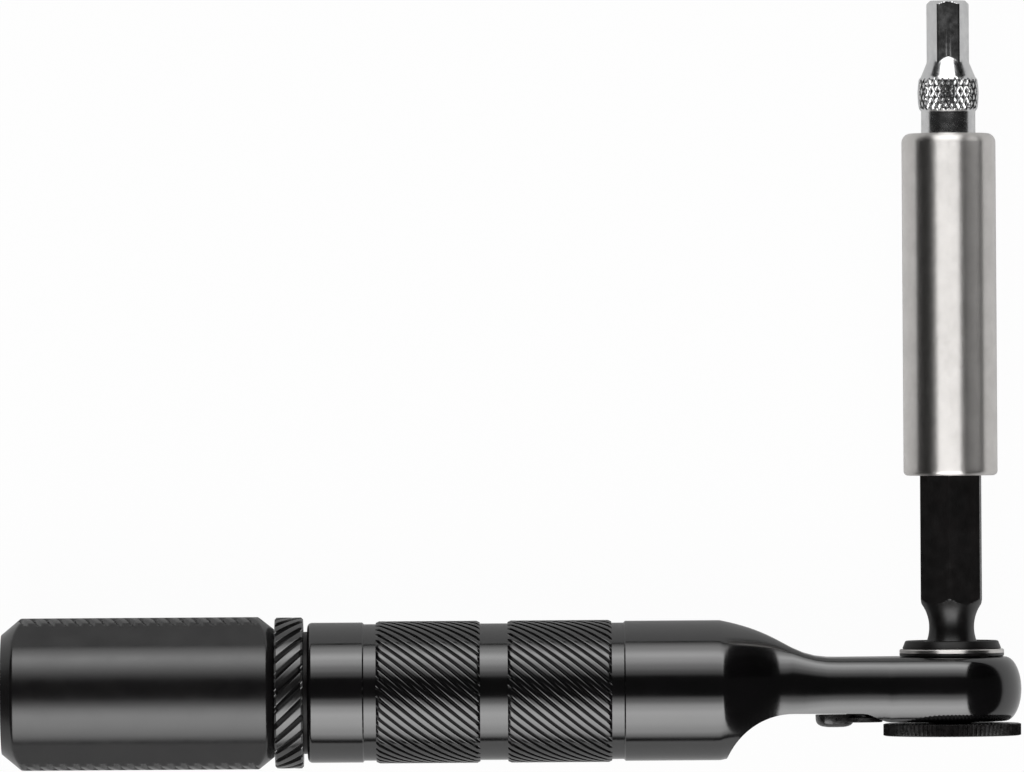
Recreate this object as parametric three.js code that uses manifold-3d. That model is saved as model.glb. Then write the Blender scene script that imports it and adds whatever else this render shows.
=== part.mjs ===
// Pocket bit ratchet with a magnetic bit holder and a 4 mm hex bit, lying flat.
// The tool's own axes: X along the handle with the drive axis at X = 0 and the end cap at -X,
// Y along the drive axis from the handle's axis up to the bit, Z up from the surface under it.
import * as THREE from 'three';
import { mergeVertices } from 'three/addons/utils/BufferGeometryUtils.js';
import Module from 'manifold-3d';

const wasm = await Module();
wasm.setup();

// Fits, in millimetres on each side
const seatGap = 0.05; // between flat faces that rest on each other
const slideGap = 0.05; // a hex in its socket
const pressGap = 0.05; // a piece pressed into its seat
const runningGap = 0.1; // a piece that turns or slides in its bore
const threadGap = 0.15; // between the crests of two mating threads
const restGap = 0.3; // a piece that lies loose beside another

// Facets of turned pieces
const roundSides = 32;
const smallSides = 24;

// Handle grip, along X from the drive axis towards the end cap
const neckLength = 12.6;
const shoulderLength = 12.1;
const frontBandLength = 10.2;
const grooveWidth = 1.3;
const knurlLength = 11.05;
const recessWidth = 2.95;
const rearBandLength = 6.0;
const gripRadius = 7.45;
const knurlRadius = 7.56;
const grooveRadius = 7.26;
const gripEdge = 0.5;

// Shoulder and neck
const shoulderKnee = 7.2; // from the grip to where the top line turns down
const shoulderSwell = 2.6; // height of that knee over the neck
const lipLength = 0.64; // grip left standing over the undercut
const undercutRadius = 7.5;
const blendLength = 8.5; // over which the round grip turns into the neck's barrel sides
const waistLength = 6.6; // over which the grip falls to the waist, in plan
const waistHalfWidth = 5.1;
const neckRise = 3.4;
const neckDrop = 2.49;

// Ratchet head
const headRadius = 7.38;
const headDrop = 3.45;
const barrelDepth = 1.75; // how far the rounded rim draws in at top and bottom
const rampLength = 3.0; // from the neck's underside down to the head's
const rampReach = 6.6;

// Ratchet gear and what closes the head
const gearTeeth = 48;
const gearTipRadius = 4.8;
const toothDepth = 0.35;
const gearHeight = 4.5;
const gearTopWall = 1.45; // of the head, over the gear
const hubRadius = 4.3;
const hubGroove = 0.25;
const socketDepth = 5.7;
const coverRadius = 5.2;
const coverThickness = 0.6;
const coverHole = 3.1;
const retainerRadius = 5.56;
const retainerThickness = 0.77;
const retainerSplit = 1.2;
const collarFootRadius = 5.25;
const collarTopRadius = 4.92;
const collarHeight = 0.86;
const socketMagnetRadius = 2.4;
const socketMagnetHeight = 0.9;

// Thumb wheel
const wheelRadius = 7.33;
const wheelThickness = 1.3;
const wheelGap = 0.23;
const wheelNotches = 72;
const notchDepth = 0.22;
const wheelBossRadius = 2.9;
const wheelSpigotLength = 0.9;

// Crescent pawl that slides across its pocket
const pawlReach = 6.4; // of its middle from the drive axis
const pawlHeight = 2.9;
const pawlRoom = 0.2; // over and under the pawl
const pawlBackRadius = 1.2;
const pawlShift = 0.35; // to each side
const pawlTipTeeth = 4; // from the centre line to each tip
const pawlTipDip = 0.15; // of the engaged tip below the teeth's crests
const pawlTipFlank = 0.6;
const pawlTipSpread = THREE.MathUtils.degToRad(38);
const pawlFrontRoom = 0.3; // to the teeth between the tips
const pocketHalfDepth = 3.8;

// Reversing lever with its plunger
const leverReach = 9.8; // of its axis from the drive axis
const leverSwing = THREE.MathUtils.degToRad(18); // to each side
const leverPlateRadius = 2.4;
const leverPlateThickness = 0.55;
const leverPlateGap = 0.46; // under the neck
const leverShaftRadius = 1.45;
const leverShaftHeight = 4.1;
const leverNubLength = 3.9;
const leverNubHalfWidth = 1.5;
const leverNubHeight = 1.35;
const leverNubGap = 0.16;
const leverNubReach = 4.8; // of its far end from the lever's axis
const plungerRadius = 0.6;
const plungerReach = 2.0;
const plungerLength = 1.5;
const springLength = 1.2;
const springWall = 0.15;

// Threaded tail, lock ring and end cap
const tailRadius = 5.9;
const tailLength = 11.5;
const tailChamfer = 0.5;
const storageRadius = 4.0;
const ringGap = 0.45;
const ringLength = 3.0;
const ringRadius = 8.03;
const ringEdge = 0.3;
const capGap = 0.1;
const capLength = 29.0;
const capRadius = 7.4;
const capStripRadius = 8.1;
const capStripHalfAngle = THREE.MathUtils.degToRad(20);
const capEndRadius = 6.35;
const capEndChamfer = 2.1;
const capMouthRadius = 6.8;
const capMouthChamfer = 1.5;
const capThreadDepth = 9.0;
const capEndWall = 3.6;
const capPadThickness = 2.0;
const oRingSection = 0.45; // radius of the rubber
const oRingPlace = 3.0; // from the cap's open end

// Bits and holder
const bitHex = 6.35; // quarter inch drive, across flats
const bitLength = 25.0;
const bitHexLength = 10.4;
const bitNeckRadius = 2.88;
const bitNeckLength = 2.8;
const bitCollarRadius = 3.2;
const bitCollarLength = 3.7;
const bitConeLength = 2.1;
const bitTipHex = 4.0;
const bitTipChamfer = 0.45;
const spareTipHex = 5.0;
const crossTipLength = 5.0;
const crossTipRadius = 2.6;
const crossBladeWidth = 1.3;
const socketTurn = THREE.MathUtils.degToRad(-5); // of the hexes, from a corner facing up
const shankLength = 46.6;
const waistRadius = 2.39;
const waistArc = 4.2;
const waistHeight = 6.56; // over the handle's axis
const sleeveRadius = 5.0;
const sleeveLength = 36.4;
const sleeveTopRound = 1.0;
const sleeveFootRound = 0.5;
const holderMagnetRadius = 3.0;
const holderMagnetHeight = 2.0;
const snapRingPlace = 4.0; // below the sleeve's mouth
const snapRingWire = 0.3;
const snapRingSplit = 1.0;

// Places along X, each worked out from the one before
const xNeck = -neckLength;
const xShoulder = xNeck - shoulderLength;
const xFrontGroove = xShoulder - frontBandLength;
const xFrontKnurl = xFrontGroove - grooveWidth;
const xRecess = xFrontKnurl - knurlLength;
const xRearKnurl = xRecess - recessWidth;
const xRearGroove = xRearKnurl - knurlLength;
const xRearBand = xRearGroove - grooveWidth;
const xGripEnd = xRearBand - rearBandLength;
const xTailEnd = xGripEnd - tailLength;
const xRing = xGripEnd - ringGap;
const xRingEnd = xRing - ringLength;
const xCap = xRingEnd - capGap;
const xCapEnd = xCap - capLength;
const xPad = xCapEnd + capEndWall + seatGap;
const xRearBit = xPad + capPadThickness + restGap;
const xFrontBit = xRearBit + bitLength + restGap;
const xStorageEnd = xFrontBit + bitLength + restGap;
const xORing = xCap - oRingPlace;

// Places along Y
const yGearTop = neckRise - gearTopWall - runningGap;
const yGear = yGearTop - gearHeight;
const yCover = yGear - runningGap - coverThickness;
const yCoverSeat = yCover + coverThickness + seatGap;
const yRetainer = neckRise + seatGap;
const yCollar = yRetainer + retainerThickness + seatGap;
const yHubTop = yCollar + collarHeight - runningGap;
const ySocketFloor = yHubTop - socketDepth;
const yWheelTop = -headDrop - wheelGap;
const yWheel = yWheelTop - wheelThickness;
const yShank = ySocketFloor + runningGap;
const yShankTop = yShank + shankLength;
const yHolderMagnet = yShankTop + seatGap;
const yBit = yHolderMagnet + holderMagnetHeight + runningGap;
const yBitTip = yBit + bitLength;
const ySleeveTop = yBit + bitHexLength + sleeveFootRound;
const ySleeve = ySleeveTop - sleeveLength;

// Clearances that more than one piece shares
const tailBore = tailRadius + threadGap;
const gearCavityRadius = gearTipRadius + runningGap + pressGap;
const wheelSpigotRadius = socketMagnetRadius;
const gearBoreRadius = socketMagnetRadius + runningGap;
const socketHex = bitHex + 2 * slideGap;
const farOut = 3 * headRadius; // how far a cutting tool reaches past what it cuts

// Welds a geometry's shared corners and drops the triangles that close up at a pole.
function weld(geometry) {
  geometry.deleteAttribute('normal');
  geometry.deleteAttribute('uv');
  const merged = mergeVertices(geometry, 1e-4);
  const corners = merged.index.array;
  const kept = [];
  for (let i = 0; i < corners.length; i += 3) {
    const [a, b, c] = corners.slice(i, i + 3);
    if (a !== b && b !== c && c !== a) kept.push(a, b, c);
  }
  merged.setIndex(kept);
  return merged;
}

// Six times the volume inside a mesh, negative where its faces point inwards.
function signedVolume(places, corners) {
  const [a, b, c] = [new THREE.Vector3(), new THREE.Vector3(), new THREE.Vector3()];
  let volume = 0;
  for (let i = 0; i < corners.length; i += 3) {
    a.fromArray(places, corners[i] * 3);
    b.fromArray(places, corners[i + 1] * 3);
    c.fromArray(places, corners[i + 2] * 3);
    volume += a.dot(b.cross(c));
  }
  return volume;
}

function solidOf(geometry) {
  const welded = weld(geometry);
  const vertProperties = new Float32Array(welded.attributes.position.array);
  const triVerts = new Uint32Array(welded.index.array);
  if (signedVolume(vertProperties, triVerts) < 0) triVerts.reverse();
  return new wasm.Manifold(new wasm.Mesh({ numProp: 3, vertProperties, triVerts }));
}

function geometryOf(solid) {
  const mesh = solid.getMesh();
  const geometry = new THREE.BufferGeometry();
  const places = new Float32Array(mesh.vertProperties);
  geometry.setAttribute('position', new THREE.BufferAttribute(places, 3));
  geometry.setIndex(new THREE.BufferAttribute(new Uint32Array(mesh.triVerts), 1));
  geometry.computeVertexNormals();
  return geometry;
}

// A turned body from pairs of radius and height. A profile that leaves the axis closes on itself.
function turnedGeometry(profile, sides) {
  const points = profile.map(([radius, along]) => new THREE.Vector2(radius, along));
  if (profile[0][0] > 0) points.push(points[0].clone());
  return new THREE.LatheGeometry(points, sides);
}

function turnedY(profile, sides = roundSides) {
  return solidOf(turnedGeometry(profile, sides));
}

function turnedX(profile, sides = roundSides) {
  return solidOf(turnedGeometry(profile, sides).rotateZ(-Math.PI / 2));
}

// A plain round rod along Y, at a place on the X axis.
function rodY(radius, from, to, x = 0, sides = smallSides) {
  const profile = [[0, from], [radius, from], [radius, to], [0, to]];
  return solidOf(turnedGeometry(profile, sides).translate(x, 0, 0));
}

function rodX(radius, from, to, sides = roundSides) {
  return turnedX([[0, from], [radius, from], [radius, to], [0, to]], sides);
}

function tubeProfile(inner, outer, from, to) {
  return [[inner, from], [outer, from], [outer, to], [inner, to]];
}

function box([x0, x1], [y0, y1], [z0, z1]) {
  const geometry = new THREE.BoxGeometry(x1 - x0, y1 - y0, z1 - z0);
  return solidOf(geometry.translate((x0 + x1) / 2, (y0 + y1) / 2, (z0 + z1) / 2));
}

// An outline of X and Z places, raised along Y.
function prismY(outline, from, to) {
  const shape = new THREE.Shape(outline);
  const geometry = new THREE.ExtrudeGeometry(shape, { depth: to - from, bevelEnabled: false });
  return solidOf(geometry.rotateX(Math.PI / 2).translate(0, to, 0));
}

// An outline of X and Y places, drawn right across Z.
function prismZ(outline) {
  const shape = new THREE.Shape(outline);
  const geometry = new THREE.ExtrudeGeometry(shape, { depth: 2 * farOut, bevelEnabled: false });
  return solidOf(geometry.translate(0, 0, -farOut));
}

// An outline of Z and Y places, drawn along X.
function prismX(outline, from, to) {
  const shape = new THREE.Shape(outline);
  const geometry = new THREE.ExtrudeGeometry(shape, { depth: to - from, bevelEnabled: false });
  return solidOf(geometry.rotateY(Math.PI / 2).translate(from, 0, 0));
}

// A hexagonal rod along Y, with a corner facing up before it is turned.
function hexRod(acrossFlats, from, to, turn = socketTurn) {
  const cornerRadius = acrossFlats / Math.sqrt(3);
  const geometry = new THREE.CylinderGeometry(cornerRadius, cornerRadius, to - from, 6);
  return solidOf(geometry.rotateY(turn).translate(0, (from + to) / 2, 0));
}

// Points on an arc, with the angle in radians.
function arc(count, from, to, place) {
  const points = [];
  for (let i = 0; i <= count; i += 1) points.push(place(from + ((to - from) * i) / count));
  return points;
}

// Closed sections of one point count, joined in order, with a flat face at each end.
function loft(sections) {
  const places = sections.flat().flatMap((point) => point.toArray());
  const count = sections[0].length;
  const corners = [];
  for (let s = 0; s + 1 < sections.length; s += 1) {
    for (let i = 0; i < count; i += 1) {
      const here = s * count + i;
      const beside = s * count + ((i + 1) % count);
      corners.push(here, beside, here + count, beside, beside + count, here + count);
    }
  }
  const last = (sections.length - 1) * count;
  for (let i = 1; i + 1 < count; i += 1) {
    corners.push(0, i + 1, i, last, last + i, last + i + 1);
  }
  const geometry = new THREE.BufferGeometry();
  geometry.setAttribute('position', new THREE.Float32BufferAttribute(places, 3));
  geometry.setIndex(corners);
  return solidOf(geometry);
}

// Handle body: grip, shoulder, neck and head
const gripTurning = [
  [0, xTailEnd],
  [tailRadius - tailChamfer, xTailEnd],
  [tailRadius, xTailEnd + tailChamfer],
  [tailRadius, xGripEnd],
  [gripRadius - gripEdge, xGripEnd],
  [gripRadius, xGripEnd + gripEdge],
  [gripRadius, xRearBand],
  [grooveRadius, xRearBand],
  [grooveRadius, xRearGroove],
  [knurlRadius, xRearGroove],
  [knurlRadius, xRearKnurl],
  [grooveRadius, xRearKnurl],
  [grooveRadius, xRecess],
  [knurlRadius, xRecess],
  [knurlRadius, xFrontKnurl],
  [grooveRadius, xFrontKnurl],
  [grooveRadius, xFrontGroove],
  [gripRadius, xFrontGroove],
  [gripRadius, xShoulder],
  [0, xShoulder],
];

const undercutDepth = gripRadius - neckDrop;
const xLip = xShoulder + lipLength;
const xUndercut = xLip + Math.sqrt(2 * undercutRadius * undercutDepth - undercutDepth ** 2);
const xRampStart = -rampReach - rampLength;

// From the waist, straight sides run on to meet the head's rim without a corner.
const xWaist = xShoulder + waistLength;
const waistReach = Math.hypot(xWaist, waistHalfWidth);
const taperAngle = Math.asin(headRadius / waistReach) - Math.atan2(waistHalfWidth, -xWaist);
const xTaperEnd = -headRadius * Math.sin(taperAngle);

const shoulderTop = new THREE.CubicBezierCurve(
  new THREE.Vector2(xShoulder, gripRadius),
  new THREE.Vector2(xShoulder + shoulderKnee, neckRise + shoulderSwell),
  new THREE.Vector2(xShoulder + shoulderKnee, neckRise),
  new THREE.Vector2(xNeck, neckRise),
);

// What is cut away under the shoulder and the neck, up to the head
function undercut() {
  const lipAngle = Math.asin((xUndercut - xLip) / undercutRadius);
  const onArc = (angle) => new THREE.Vector2(
    xUndercut - undercutRadius * Math.sin(angle),
    undercutRadius * Math.cos(angle) - undercutRadius - neckDrop,
  );
  return prismZ([
    ...arc(12, lipAngle, 0, onArc),
    new THREE.Vector2(xRampStart, -neckDrop),
    new THREE.Vector2(-rampReach, -headDrop),
    new THREE.Vector2(-rampReach, -farOut),
    new THREE.Vector2(xLip, -farOut),
  ]);
}

function bodySection(x, top, bottom, halfWidth, sideRound) {
  const middle = (top + bottom) / 2;
  const half = (top - bottom) / 2;
  const steps = roundSides / 2;
  const sidePoint = (side) => (angle) => new THREE.Vector3(
    x,
    middle + half * Math.cos(angle),
    side * (halfWidth - sideRound + sideRound * Math.sin(angle)),
  );
  return [...arc(steps, 0, Math.PI, sidePoint(1)), ...arc(steps, Math.PI, 0, sidePoint(-1))];
}

// How deep the side is rounded: all of it at the grip, as deep as the head's rim at the neck.
function sideRoundAt(x) {
  const taper = THREE.MathUtils.clamp((x - xShoulder) / blendLength, 0, 1);
  return THREE.MathUtils.lerp(barrelDepth, gripRadius, (1 - taper) ** 2);
}

function halfWidthAt(x) {
  if (x > xWaist) return waistHalfWidth + (x - xWaist) * Math.tan(taperAngle);
  const fall = THREE.MathUtils.smoothstep(x, xShoulder, xWaist);
  return THREE.MathUtils.lerp(gripRadius, waistHalfWidth, fall);
}

function shoulderAndNeck() {
  const root = gripRadius - gripEdge; // the first section hides inside the grip
  const sections = [bodySection(xShoulder - gripEdge, root, -root, root, root)];
  const shoulderSteps = 14;
  for (let i = 0; i <= shoulderSteps; i += 1) {
    const { x, y: top } = shoulderTop.getPoint((i / shoulderSteps) ** 1.4);
    const share = (gripRadius - top) / (gripRadius - neckRise);
    const bottom = -THREE.MathUtils.lerp(gripRadius, headDrop, share);
    sections.push(bodySection(x, top, bottom, halfWidthAt(x), sideRoundAt(x)));
  }
  sections.push(bodySection(xTaperEnd, neckRise, -headDrop, halfWidthAt(xTaperEnd), barrelDepth));
  return loft(sections);
}

function headBlank() {
  const middle = (neckRise - headDrop) / 2;
  const half = (neckRise + headDrop) / 2;
  const rim = (angle) => [
    headRadius - barrelDepth + barrelDepth * Math.cos(angle),
    middle + half * Math.sin(angle),
  ];
  const rimPoints = arc(10, -Math.PI / 2, Math.PI / 2, rim);
  return turnedY([[0, -headDrop], ...rimPoints, [0, neckRise]]);
}

const oRingGrooveRadius = tailBore - pressGap - 2 * oRingSection - pressGap;
const pocketFloor = yGear + (gearHeight - pawlHeight) / 2 - pawlRoom;
const pocketRoof = pocketFloor + pawlHeight + 2 * pawlRoom;
const leverTop = -neckDrop - leverPlateGap;
const leverShaftTop = leverTop + leverShaftHeight;

function handleBody() {
  const oRingGroove = tubeProfile(
    oRingGrooveRadius,
    tailRadius + tailChamfer,
    xORing - oRingSection - pressGap,
    xORing + oRingSection + pressGap,
  );
  const leverBore = leverShaftRadius + runningGap + pressGap;
  const plateRoom = leverPlateRadius + 2 * runningGap;
  const cuts = [
    rodX(storageRadius, xTailEnd - tailChamfer, xStorageEnd),
    turnedX(oRingGroove),
    rodY(gearCavityRadius, yGear - runningGap, neckRise - gearTopWall, 0, roundSides),
    rodY(coverRadius + runningGap, -farOut, yCoverSeat, 0, roundSides),
    rodY(hubRadius + runningGap, 0, farOut, 0, roundSides),
    box([-leverReach, 0], [pocketFloor, pocketRoof], [-pocketHalfDepth, pocketHalfDepth]),
    rodY(leverBore, -farOut, leverShaftTop + pawlRoom, -leverReach),
    rodY(plateRoom, -farOut, leverTop + runningGap, -leverReach),
  ];
  let body = turnedX(gripTurning).add(shoulderAndNeck()).add(headBlank()).subtract(undercut());
  for (const cut of cuts) body = body.subtract(cut);
  return body;
}

// Ratchet gear with its hex socket, and what turns with it
function ratchetGear() {
  const toothPitch = (2 * Math.PI) / gearTeeth;
  const outline = [];
  for (let tooth = 0; tooth < gearTeeth; tooth += 1) {
    const root = gearTipRadius - toothDepth;
    const rootAngle = tooth * toothPitch;
    const tipAngle = rootAngle + toothPitch / 2;
    outline.push(new THREE.Vector2(root * Math.cos(rootAngle), root * Math.sin(rootAngle)));
    outline.push(new THREE.Vector2(
      gearTipRadius * Math.cos(tipAngle),
      gearTipRadius * Math.sin(tipAngle),
    ));
  }
  const grooveFloor = hubRadius - hubGroove;
  const hub = turnedY([
    [0, yGear],
    [hubRadius, yGear],
    [hubRadius, yRetainer - seatGap],
    [grooveFloor, yRetainer - seatGap],
    [grooveFloor, yCollar],
    [hubRadius, yCollar],
    [hubRadius, yHubTop],
    [0, yHubTop],
  ]);
  return prismY(outline, yGear, yGearTop)
    .add(hub)
    .subtract(hexRod(socketHex, ySocketFloor, farOut))
    .subtract(rodY(gearBoreRadius, -farOut, yHubTop));
}

function gearRetainingRing() {
  const inner = hubRadius - hubGroove + pressGap;
  const ring = turnedY(tubeProfile(inner, retainerRadius, yRetainer, yRetainer + retainerThickness));
  const split = box([-retainerSplit / 2, retainerSplit / 2], [0, farOut], [-farOut, 0]);
  return ring.subtract(split);
}

function noseCollar() {
  const inner = hubRadius + pressGap;
  return turnedY([
    [inner, yCollar],
    [collarFootRadius, yCollar],
    [collarTopRadius, yCollar + collarHeight],
    [inner, yCollar + collarHeight],
  ]);
}

function socketMagnet() {
  const top = ySocketFloor - seatGap;
  return rodY(socketMagnetRadius, top - socketMagnetHeight, top);
}

function headCover() {
  return turnedY(tubeProfile(coverHole, coverRadius, yCover, yCover + coverThickness));
}

function thumbWheel() {
  const notchPitch = (2 * Math.PI) / wheelNotches;
  const outline = [];
  for (let i = 0; i < 2 * wheelNotches; i += 1) {
    const radius = i % 2 ? wheelRadius - notchDepth : wheelRadius;
    const angle = (i * notchPitch) / 2;
    outline.push(new THREE.Vector2(radius * Math.cos(angle), radius * Math.sin(angle)));
  }
  const bossTop = yGear - seatGap;
  return prismY(outline, yWheel, yWheelTop)
    .add(rodY(wheelBossRadius, yWheel, bossTop))
    .add(rodY(wheelSpigotRadius, yWheel, bossTop + wheelSpigotLength));
}

// Pawl, drawn midway between its two ends, about its own middle
function pawl() {
  const toothPitch = (2 * Math.PI) / gearTeeth;
  const tipAngle = pawlTipTeeth * toothPitch;
  const tipRadius = gearTipRadius - pawlTipDip;
  const tip = new THREE.Vector2(
    pawlReach - tipRadius * Math.cos(tipAngle),
    tipRadius * Math.sin(tipAngle) + pawlShift,
  );
  const flankPoint = (spread, length) => {
    const angle = Math.PI - tipAngle + spread;
    return new THREE.Vector2(Math.cos(angle), Math.sin(angle)).multiplyScalar(length).add(tip);
  };
  const upperHorn = [
    flankPoint(pawlTipSpread, pawlTipFlank),
    tip,
    flankPoint(-pawlTipSpread, pawlTipFlank),
  ];
  const lowerHorn = upperHorn.map((point) => new THREE.Vector2(point.x, -point.y)).reverse();
  const back = (angle) => new THREE.Vector2(
    pawlBackRadius * Math.cos(angle),
    pawlBackRadius * Math.sin(angle),
  );
  const frontRadius = gearTipRadius + pawlFrontRoom;
  const front = (angle) => new THREE.Vector2(
    pawlReach - frontRadius * Math.cos(angle),
    frontRadius * Math.sin(angle),
  );
  const backTurn = THREE.MathUtils.degToRad(100);
  const frontTurn = tipAngle - 1.5 * toothPitch;
  const outline = [
    ...upperHorn,
    ...arc(8, backTurn, 2 * Math.PI - backTurn, back),
    ...lowerHorn,
    ...arc(6, -frontTurn, frontTurn, front),
  ];
  const floor = pocketFloor + pawlRoom;
  return prismY(outline, floor, floor + pawlHeight);
}

// Reversing lever, drawn midway between its two ends, about its own axis
const plungerHeight = (pocketFloor + pocketRoof) / 2;
const plungerTail = plungerReach - plungerLength;
const springTail = plungerTail - seatGap - springLength;

function reversingLever() {
  const nubTop = -neckDrop - leverNubGap;
  const nubCentre = -leverNubReach + leverNubLength / 2;
  const nub = new THREE.SphereGeometry(1, smallSides, 12);
  nub.scale(leverNubLength / 2, leverNubHeight, leverNubHalfWidth).translate(nubCentre, nubTop, 0);
  const reach = [-leverNubReach, leverPlateRadius];
  const width = [-leverNubHalfWidth, leverNubHalfWidth];
  const nubBottom = nubTop - leverNubHeight;
  const plateBottom = leverTop - leverPlateThickness;
  const armLength = [nubCentre, 0];
  return rodY(leverPlateRadius, plateBottom, leverTop)
    .add(rodY(leverShaftRadius, plateBottom, leverShaftTop))
    .add(box(armLength, [plateBottom, leverTop], width))
    .add(solidOf(nub).intersect(box(reach, [nubBottom, nubTop], width)))
    .subtract(crossBore());
}

function crossBore() {
  const profile = [
    [0, springTail - seatGap],
    [plungerRadius + runningGap, springTail - seatGap],
    [plungerRadius + runningGap, farOut],
    [0, farOut],
  ];
  const geometry = turnedGeometry(profile, smallSides).rotateZ(-Math.PI / 2);
  return solidOf(geometry.translate(0, plungerHeight, 0));
}

function leverPlunger() {
  const nose = (angle) => [
    plungerRadius * Math.cos(angle),
    plungerReach - plungerRadius + plungerRadius * Math.sin(angle),
  ];
  const profile = [[0, plungerTail], [plungerRadius, plungerTail], ...arc(4, 0, Math.PI / 2, nose)];
  const geometry = turnedGeometry(profile, smallSides).rotateZ(-Math.PI / 2);
  return solidOf(geometry.translate(0, plungerHeight, 0));
}

function plungerSpring() {
  const profile = tubeProfile(
    plungerRadius - springWall,
    plungerRadius,
    springTail,
    springTail + springLength,
  );
  const geometry = turnedGeometry(profile, smallSides).rotateZ(-Math.PI / 2);
  return solidOf(geometry.translate(0, plungerHeight, 0));
}

// Lock ring and end cap
function lockRing() {
  return turnedX([
    [tailBore, xRingEnd],
    [ringRadius - ringEdge, xRingEnd],
    [ringRadius, xRingEnd + ringEdge],
    [ringRadius, xRing - ringEdge],
    [ringRadius - ringEdge, xRing],
    [tailBore, xRing],
  ]);
}

// The cap's section: two raised strips at +Y and -Y, with flats that run tangent to its round.
function capSection() {
  const flatAngle = capStripHalfAngle + Math.acos(capRadius / capStripRadius);
  const onStrip = (angle) => new THREE.Vector2(
    capStripRadius * Math.sin(angle),
    capStripRadius * Math.cos(angle),
  );
  const onRound = (angle) => new THREE.Vector2(
    capRadius * Math.sin(angle),
    capRadius * Math.cos(angle),
  );
  return [
    ...arc(6, -capStripHalfAngle, capStripHalfAngle, onStrip),
    ...arc(12, flatAngle, Math.PI - flatAngle, onRound),
    ...arc(6, Math.PI - capStripHalfAngle, Math.PI + capStripHalfAngle, onStrip),
    ...arc(12, Math.PI + flatAngle, 2 * Math.PI - flatAngle, onRound),
  ];
}

function endCap() {
  const blank = turnedX([
    [0, xCapEnd],
    [capEndRadius, xCapEnd],
    [capStripRadius, xCapEnd + capEndChamfer],
    [capStripRadius, xCap - capMouthChamfer],
    [capMouthRadius, xCap],
    [0, xCap],
  ]);
  const storage = storageRadius + runningGap;
  return blank
    .intersect(prismX(capSection(), xCapEnd - 1, xCap + 1))
    .subtract(rodX(tailBore, xCap - capThreadDepth, xCap + capGap))
    .subtract(rodX(storage, xCapEnd + capEndWall, xCap));
}

function capPad() {
  return rodX(storageRadius, xPad, xPad + capPadThickness, smallSides);
}

function capORing() {
  const middle = oRingGrooveRadius + pressGap + oRingSection;
  const section = (angle) => [
    middle + oRingSection * Math.cos(angle),
    xORing + oRingSection * Math.sin(angle),
  ];
  return turnedX(arc(8, 0, 2 * Math.PI, section).slice(0, -1));
}

// Bits, drawn along Y from the drive end
function bitBody(tipFoot) {
  const neckEnd = bitHexLength + bitNeckLength;
  const collarEnd = neckEnd + bitCollarLength;
  const turning = [
    [0, bitHexLength - restGap],
    [bitNeckRadius, bitHexLength - restGap],
    [bitNeckRadius, neckEnd],
    [bitCollarRadius, neckEnd + restGap],
    [bitCollarRadius, collarEnd - restGap],
    [bitNeckRadius, collarEnd],
    [tipFoot, collarEnd + bitConeLength],
    [0, collarEnd + bitConeLength],
  ];
  return hexRod(bitHex, 0, bitHexLength).add(turnedY(turning, smallSides));
}

const bitTipStart = bitHexLength + bitNeckLength + bitCollarLength;

function hexBit(tipHex, tipTurn) {
  const tipRadius = tipHex / Math.sqrt(3);
  const chamfered = turnedY([
    [0, bitTipStart],
    [tipRadius, bitTipStart],
    [tipRadius, bitLength - bitTipChamfer],
    [tipRadius - bitTipChamfer, bitLength],
    [0, bitLength],
  ]);
  const tip = hexRod(tipHex, bitTipStart, bitLength, tipTurn).intersect(chamfered);
  return bitBody(tipHex / 2).add(tip);
}

function crossBit() {
  const start = bitLength - crossTipLength;
  const point = turnedY([
    [0, bitTipStart],
    [crossTipRadius, bitTipStart],
    [crossTipRadius, start],
    [crossBladeWidth / 2, bitLength],
    [0, bitLength],
  ], smallSides);
  const blade = [-crossBladeWidth / 2, crossBladeWidth / 2];
  const reach = [-farOut, farOut];
  const along = [bitTipStart, bitLength];
  const blades = box(blade, along, reach).add(box(reach, along, blade));
  const shaft = rodY(crossTipRadius, bitTipStart, start);
  return bitBody(crossTipRadius).add(point.intersect(blades.add(shaft)));
}

// Bit holder
function holderShank() {
  const waistCentre = waistRadius + waistArc;
  const groove = (angle) => [
    waistCentre - waistArc * Math.cos(angle),
    waistHeight + waistArc * Math.sin(angle),
  ];
  const grooveSpan = Math.PI / 3;
  return hexRod(bitHex, yShank, yShankTop).subtract(turnedY(arc(12, -grooveSpan, grooveSpan, groove)));
}

function holderSleeve() {
  const round = (radius, y, from) => (angle) => [
    sleeveRadius - radius + radius * Math.cos(from + angle),
    y + radius * Math.sin(from + angle),
  ];
  const quarter = Math.PI / 2;
  const foot = arc(3, 0, quarter, round(sleeveFootRound, ySleeve + sleeveFootRound, -quarter));
  const top = arc(5, 0, quarter, round(sleeveTopRound, ySleeveTop - sleeveTopRound, 0));
  const yGroove = ySleeveTop - snapRingPlace;
  const grooveReach = socketHex / Math.sqrt(3) + snapRingWire + 2 * pressGap;
  return turnedY([[0, ySleeve], ...foot, ...top, [0, ySleeveTop]])
    .subtract(hexRod(socketHex, -farOut, 2 * ySleeveTop))
    .subtract(rodY(grooveReach, yGroove - snapRingWire, yGroove + snapRingWire));
}

function holderMagnet() {
  return rodY(holderMagnetRadius, yHolderMagnet, yHolderMagnet + holderMagnetHeight);
}

function holderSnapRing() {
  const inner = socketHex / Math.sqrt(3) + pressGap;
  const middle = ySleeveTop - snapRingPlace;
  const half = snapRingWire - pressGap;
  const ring = turnedY(tubeProfile(inner, inner + snapRingWire, middle - half, middle + half), smallSides);
  const split = [-snapRingSplit / 2, snapRingSplit / 2];
  return ring.subtract(box(split, [0, 2 * ySleeveTop], [-farOut, 0]));
}

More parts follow.
